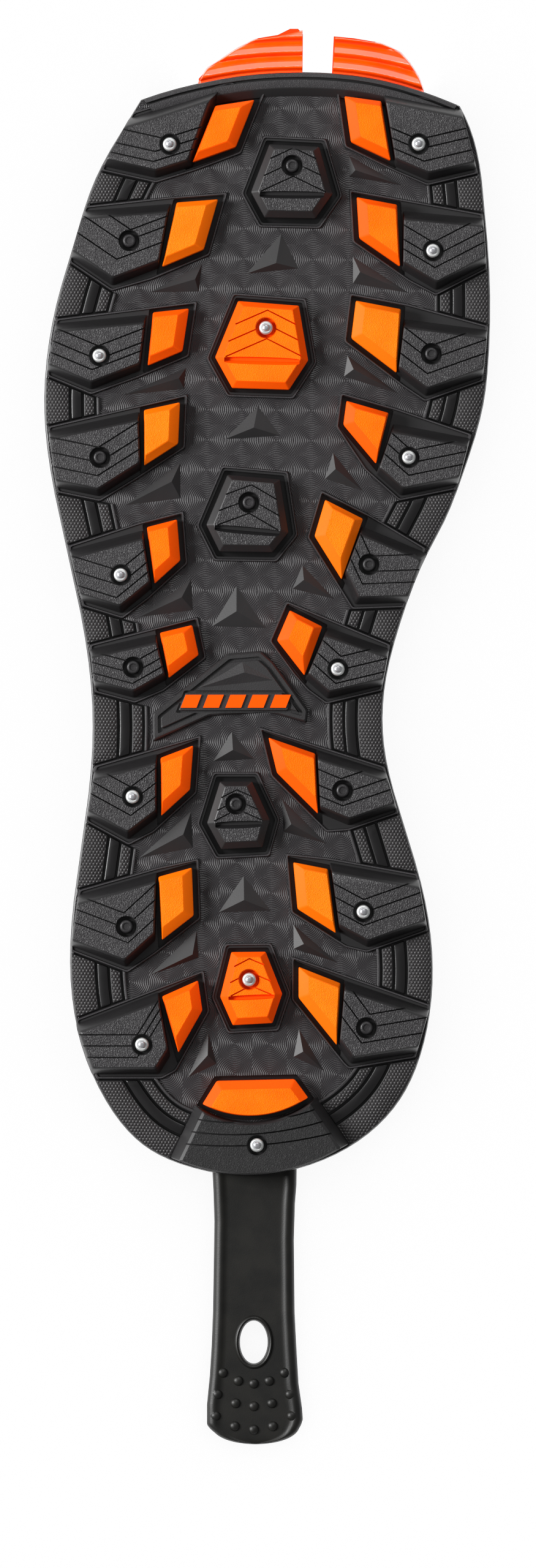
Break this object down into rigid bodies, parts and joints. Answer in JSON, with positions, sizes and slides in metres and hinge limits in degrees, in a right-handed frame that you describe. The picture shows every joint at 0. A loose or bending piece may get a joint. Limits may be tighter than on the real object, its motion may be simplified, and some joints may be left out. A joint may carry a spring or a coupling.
{
  "type": "studded boot outsole",
  "caption": "Interchangeable winter boot outsole with orange and black ice lugs, hard-tipped steel studs, two toe tabs and a rubber heel pull-strap with an eyelet.",
  "frame": {"origin": "centre of the outsole's overall box, on the flat boot-side face it rests on", "axes": "+Z out of the tread, +Y to the toe, +X to the inner side of a right foot"},
  "size_m": [0.1239, 0.3938, 0.0171],
  "materials": {
    "lug_rubber": "pebbled satin",
    "web_rubber": "engine-turned satin",
    "orange_compound": "pebbled satin",
    "plate_plastic": "glossy moulded",
    "panel_plastic": "matt grained",
    "badge_orange": "matt",
    "stud_steel": "bright turned",
    "tip_carbide": "sintered grey",
    "peg_rubber": "satin",
    "strap_rubber": "satin moulded",
    "rivet_steel": "satin"
  },
  "bodies": {
    "sole": {"anchor_rivets": "rivet_steel", "anchor_washers": "rivet_steel", "arch_badge": "badge_orange", "arch_panel": "panel_plastic", "blank_pegs": "peg_rubber", "carrier_plate": "plate_plastic", "chip_heel": "orange_compound", "chip_left_1": "orange_compound", "chip_left_2": "orange_compound", "chip_left_3": "orange_compound", "chip_left_4": "orange_compound", "chip_left_5": "orange_compound", "chip_left_6": "orange_compound", "chip_left_7": "orange_compound", "chip_left_8": "orange_compound", "chip_left_9": "orange_compound", "chip_right_1": "orange_compound", "chip_right_2": "orange_compound", "chip_right_3": "orange_compound", "chip_right_4": "orange_compound", "chip_right_5": "orange_compound", "chip_right_6": "orange_compound", "chip_right_7": "orange_compound", "chip_right_8": "orange_compound", "chip_right_9": "orange_compound", "lug_heel": "lug_rubber", "lug_left_1": "lug_rubber", "lug_left_2": "lug_rubber", "lug_left_3": "lug_rubber", "lug_left_4": "lug_rubber", "lug_left_5": "lug_rubber", "lug_left_6": "lug_rubber", "lug_left_7": "lug_rubber", "lug_left_8": "lug_rubber", "lug_left_9": "lug_rubber", "lug_right_1": "lug_rubber", "lug_right_2": "lug_rubber", "lug_right_3": "lug_rubber", "lug_right_4": "lug_rubber", "lug_right_5": "lug_rubber", "lug_right_6": "lug_rubber", "lug_right_7": "lug_rubber", "lug_right_8": "lug_rubber", "lug_right_9": "lug_rubber", "outsole_web": "web_rubber", "pod_arch": "lug_rubber", "pod_ball": "orange_compound", "pod_heel": "orange_compound", "pod_toe": "lug_rubber", "pod_waist": "lug_rubber", "strap_anchor": "strap_rubber", "stud_jackets": "stud_steel", "stud_tips": "tip_carbide"},
    "strap": {"strap_web": "strap_rubber"},
    "pull_tab": {"strap_pull_tab": "strap_rubber"}
  },
  "joints": [
    {"name": "strap_bend", "type": "hinge", "parent": "sole", "child": "strap", "pos_m": [-0.0036, -0.1247, 0.0032], "axis": [1, 0, 0], "range_deg": [-25, 65], "stiffness_Nm_per_rad": 0.12},
    {"name": "tab_curl", "type": "hinge", "parent": "strap", "child": "pull_tab", "pos_m": [-0.0036, -0.157, 0.0032], "axis": [1, 0, 0], "range_deg": [-20, 40], "stiffness_Nm_per_rad": 0.06}
  ]
}
